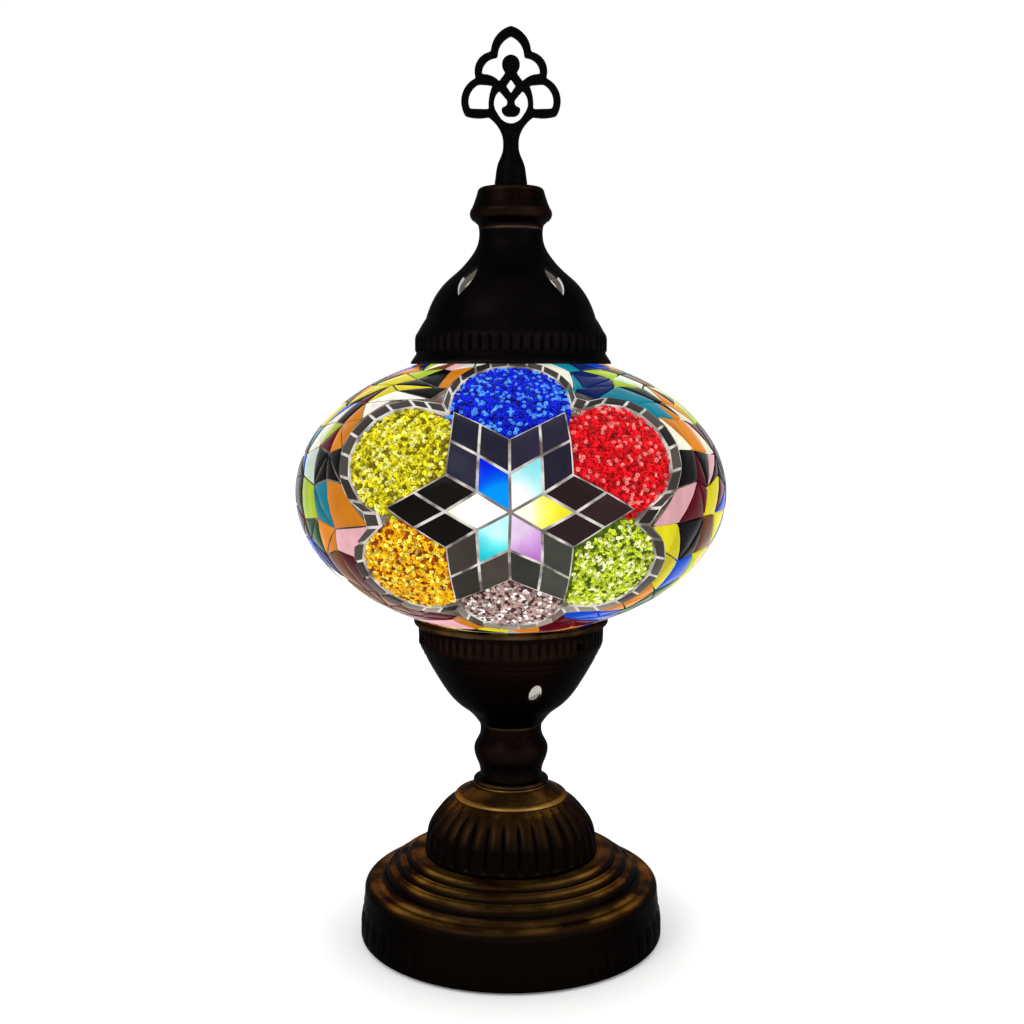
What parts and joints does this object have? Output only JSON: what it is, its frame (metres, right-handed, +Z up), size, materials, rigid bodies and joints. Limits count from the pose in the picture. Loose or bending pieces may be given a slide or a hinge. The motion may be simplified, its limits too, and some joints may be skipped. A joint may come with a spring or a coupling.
{
  "type": "mosaic glass table lamp",
  "caption": "Table lamp with a squat mosaic glass globe between a domed cap with an openwork finial and a fluted cup on a stepped round foot.",
  "frame": {"origin": "middle of the underside, on the table", "axes": "+Z up the lamp, +Y to the rear, where the cord's inlet is"},
  "size_m": [0.166, 0.166, 0.352],
  "materials": {
    "antique_brass": "dark antique patina, rubbed on the ridges",
    "steel": "zinc plated",
    "contact_brass": "nickel-plated brass",
    "cast_iron": "as cast",
    "felt": "felt",
    "cover_board": "fibre board",
    "rubber": "matt",
    "holder_plastic": "phenolic, satin",
    "bulb_plastic": "satin white",
    "opal_glass": "opal, lit",
    "clear_glass": "clear, blown",
    "mosaic_glass": "cut coloured glass and seed beads in white grout"
  },
  "bodies": {
    "base": {"base_foot": "antique_brass", "ballast_disc": "cast_iron", "base_cover": "cover_board", "felt_pad": "felt", "cord_grommet": "rubber", "bell": "antique_brass", "stem": "antique_brass", "cup": "antique_brass", "screw_bosses": "steel", "cup_seat_ring": "rubber", "tie_rod": "steel", "rod_nuts": "steel", "rod_washers": "steel", "holder_cap": "holder_plastic", "holder_insert": "holder_plastic", "holder_skirt": "holder_plastic", "screw_shell": "contact_brass", "centre_contact": "contact_brass", "terminal_screws": "steel"},
    "bulb": {"bulb_cap": "contact_brass", "bulb_contact": "bulb_plastic", "bulb_body": "bulb_plastic", "bulb_envelope": "opal_glass", "led_board": "bulb_plastic"},
    "globe": {"globe_glass": "clear_glass", "medallion_front": "mosaic_glass", "medallion_back": "mosaic_glass", "side_band_right": "mosaic_glass", "side_band_left": "mosaic_glass"},
    "cap": {"cap_dome": "antique_brass", "cap_collar": "antique_brass", "cap_seat_ring": "rubber", "finial_nut": "steel", "finial_washer": "steel"},
    "finial": {"finial": "antique_brass", "finial_stud": "steel"},
    "globe_screw_right": {"globe_screw_right": "steel"},
    "globe_screw_left": {"globe_screw_left": "steel"},
    "globe_screw_rear": {"globe_screw_rear": "steel"}
  },
  "joints": [
    {"name": "globe_lift", "type": "slide", "parent": "base", "child": "globe", "axis": [0, 0, 1], "range_m": [0, 0.1]},
    {"name": "cap_lift", "type": "slide", "parent": "globe", "child": "cap", "axis": [0, 0, 1], "range_m": [0, 0.06]},
    {"name": "finial_turn", "type": "hinge", "parent": "cap", "child": "finial", "pos_m": [0, 0, 0.29], "axis": [0, 0, 1], "range_deg": [0, 1800]},
    {"name": "bulb_turn", "type": "hinge", "parent": "base", "child": "bulb", "pos_m": [0, 0, 0.125], "axis": [0, 0, 1], "range_deg": [0, 1260]},
    {"name": "globe_screw_right_out", "type": "slide", "parent": "base", "child": "globe_screw_right", "axis": [0.7314, -0.682, 0], "range_m": [0, 0.006]},
    {"name": "globe_screw_left_out", "type": "slide", "parent": "base", "child": "globe_screw_left", "axis": [-0.9563, -0.2924, 0], "range_m": [0, 0.006]},
    {"name": "globe_screw_rear_out", "type": "slide", "parent": "base", "child": "globe_screw_rear", "axis": [0.225, 0.9744, 0], "range_m": [0, 0.006]}
  ]
}
